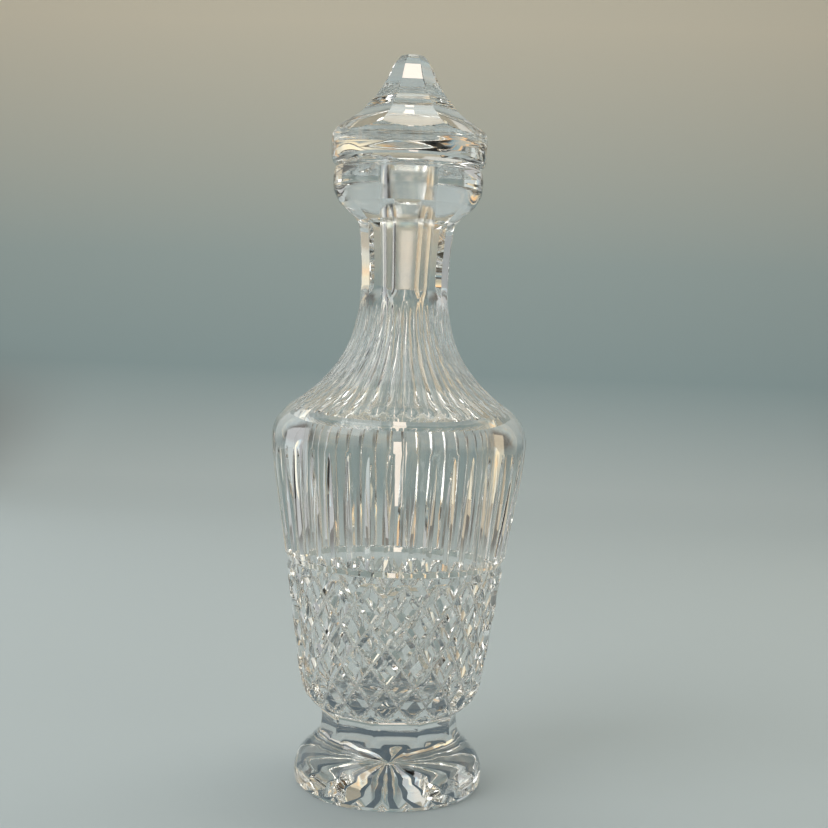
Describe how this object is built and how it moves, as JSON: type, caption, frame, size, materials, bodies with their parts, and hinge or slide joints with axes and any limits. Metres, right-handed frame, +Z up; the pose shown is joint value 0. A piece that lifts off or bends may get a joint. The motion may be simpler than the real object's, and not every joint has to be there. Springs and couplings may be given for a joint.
{
  "type": "cut crystal decanter",
  "caption": "Tall footed decanter in cut clear crystal: round shoulder with flutes, diamond-cut lower body, panelled neck, and a pointed ground-in stopper that lifts out.",
  "frame": {"origin": "centre of the foot's resting plane, at the middle of the object's footprint", "axes": "+Z up along the axis of the vessel and of the stopper; one upright flute of the body and one land of the foot point along -Y"},
  "size_m": [0.1144, 0.1144, 0.3264],
  "materials": {
    "vessel_crystal": "polished clear lead crystal, cut and fire-polished",
    "stopper_crystal": "polished clear lead crystal, peg finely ground"
  },
  "bodies": {
    "vessel": {"vessel": "vessel_crystal"},
    "stopper": {"stopper": "stopper_crystal"}
  },
  "joints": [
    {"name": "stopper_lift", "type": "slide", "parent": "vessel", "child": "stopper", "axis": [0, 0, 1], "range_m": [0, 0.085]}
  ]
}
